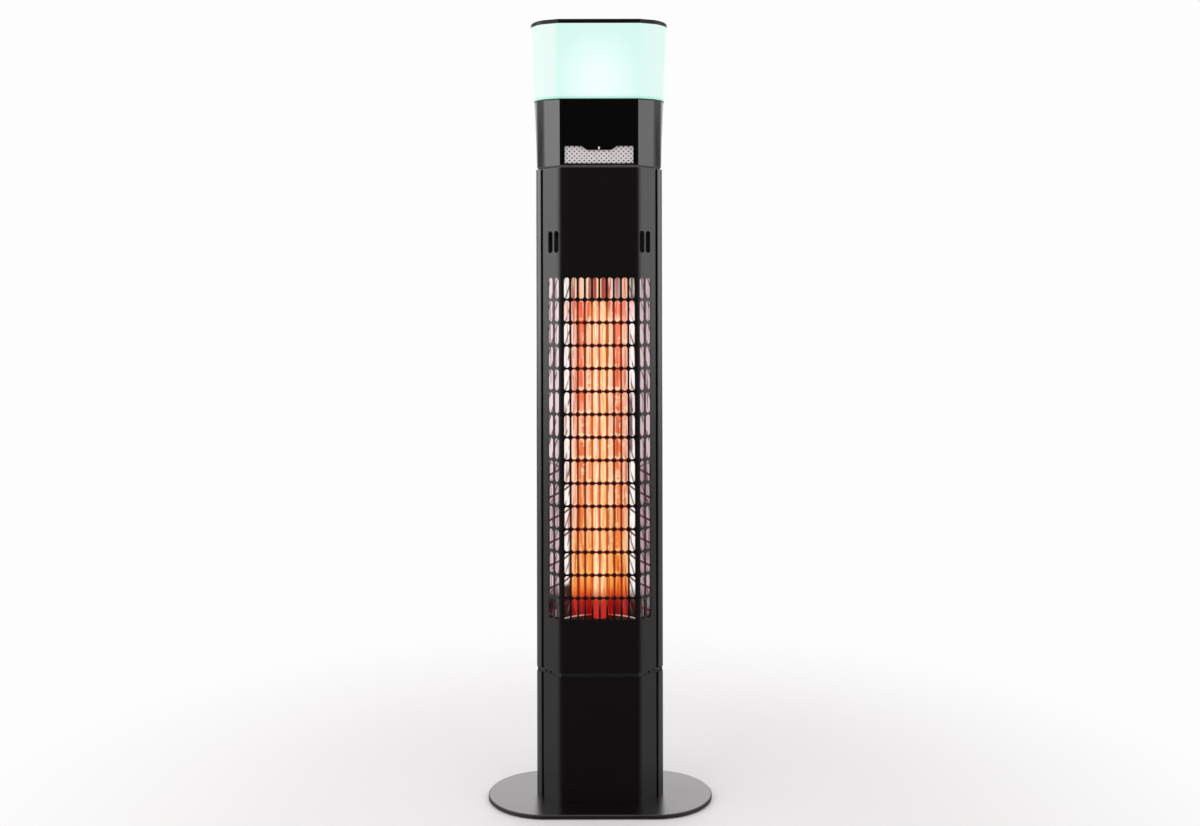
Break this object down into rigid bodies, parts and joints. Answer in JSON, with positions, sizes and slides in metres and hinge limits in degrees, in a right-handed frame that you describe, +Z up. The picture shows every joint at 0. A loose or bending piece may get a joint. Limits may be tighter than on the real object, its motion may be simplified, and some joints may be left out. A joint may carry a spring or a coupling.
{
  "type": "infrared patio heater tower",
  "caption": "Free-standing infrared heater tower: plate base, slotted guard over a quartz lamp and reflector, speaker window, glowing lamp head, rear push buttons and rocker switch.",
  "frame": {"origin": "on the floor, under the middle of the base plate", "axes": "+Z up along the tower, -Y the way the heater faces, +X to the right as seen from the front"},
  "size_m": [0.318, 0.168, 1.1022],
  "materials": {
    "powder_black": "fine satin powder coat",
    "rail_black": "satin black on an aluminium extrusion",
    "base_black": "fine satin powder coat on steel plate",
    "foot_rubber": "matte",
    "zinc_steel": "zinc plated",
    "screw_steel": "blackened",
    "moulded_black": "fine spark texture",
    "head_black": "satin moulding",
    "cap_black": "semi gloss",
    "rocker_black": "gloss",
    "button_rubber": "satin silicone",
    "mirror_sheet": "mirror rolled sheet",
    "quartz": "clear fused quartz",
    "hot_filament": "glowing carbon strip",
    "steatite": "unglazed",
    "circuit_green": "solder mask",
    "component_dark": "moulded",
    "connector_white": "moulded",
    "heat_sink_alu": "extruded",
    "loom_black": "braided sleeve",
    "mesh_silver": "perforated",
    "speaker_black": "pressed cone",
    "lens_clear": "clear light pipe",
    "led_white": "glowing",
    "shade_opal": "opal diffusing",
    "tray_white": "moulded",
    "seal_rubber": "matte"
  },
  "bodies": {
    "tower": {"amplifier_board": "circuit_green", "back_panel": "powder_black", "base_plate": "base_black", "base_screws": "screw_steel", "board_components": "component_dark", "board_connector": "connector_white", "body_screws": "screw_steel", "button_bezel": "moulded_black", "button_board": "circuit_green", "cable_gland": "moulded_black", "control_board": "circuit_green", "control_tray": "zinc_steel", "foot_back_panel": "powder_black", "foot_front_panel": "powder_black", "foot_mount_plate": "zinc_steel", "foot_rail_left": "rail_black", "foot_rail_right": "rail_black", "foot_screws": "screw_steel", "front_panel": "powder_black", "gland_nut": "moulded_black", "head_base": "head_black", "head_shell": "head_black", "heat_shield": "zinc_steel", "heat_sink": "heat_sink_alu", "heating_element": "hot_filament", "joint_collar": "moulded_black", "lamp_holder_bottom": "steatite", "lamp_holder_top": "steatite", "lamp_shade": "shade_opal", "lamp_tray": "tray_white", "led_board": "circuit_green", "leds": "led_white", "quartz_tube": "quartz", "rail_left": "rail_black", "rail_right": "rail_black", "receiver_lens": "lens_clear", "receiver_pod": "moulded_black", "reflector": "mirror_sheet", "reflector_end_bottom": "zinc_steel", "reflector_end_top": "zinc_steel", "rubber_feet": "foot_rubber", "shade_seal": "seal_rubber", "speaker_baffle": "moulded_black", "speaker_left": "speaker_black", "speaker_mesh": "mesh_silver", "speaker_right": "speaker_black", "switch_housing": "moulded_black", "terminal_block": "connector_white", "thermal_cutout": "component_dark", "tilt_switch": "moulded_black", "top_cap": "cap_black", "tube_cap_bottom": "steatite", "tube_cap_top": "steatite", "wiring_loom": "loom_black"},
    "rocker_body": {"rocker": "rocker_black"},
    "button_1": {"button_1": "button_rubber"},
    "button_2": {"button_2": "button_rubber"},
    "button_3": {"button_3": "button_rubber"},
    "button_4": {"button_4": "button_rubber"}
  },
  "joints": [
    {"name": "rocker_hinge", "type": "hinge", "parent": "tower", "child": "rocker_body", "pos_m": [0, 0.036, 0.12], "axis": [1, 0, 0], "range_deg": [0, 14]},
    {"name": "button_1_press", "type": "slide", "parent": "tower", "child": "button_1", "axis": [0, -1, 0], "range_m": [0, 0.0012], "stiffness_N_per_m": 800},
    {"name": "button_2_press", "type": "slide", "parent": "tower", "child": "button_2", "axis": [0, -1, 0], "range_m": [0, 0.0012], "stiffness_N_per_m": 800},
    {"name": "button_3_press", "type": "slide", "parent": "tower", "child": "button_3", "axis": [0, -1, 0], "range_m": [0, 0.0012], "stiffness_N_per_m": 800},
    {"name": "button_4_press", "type": "slide", "parent": "tower", "child": "button_4", "axis": [0, -1, 0], "range_m": [0, 0.0012], "stiffness_N_per_m": 800}
  ]
}
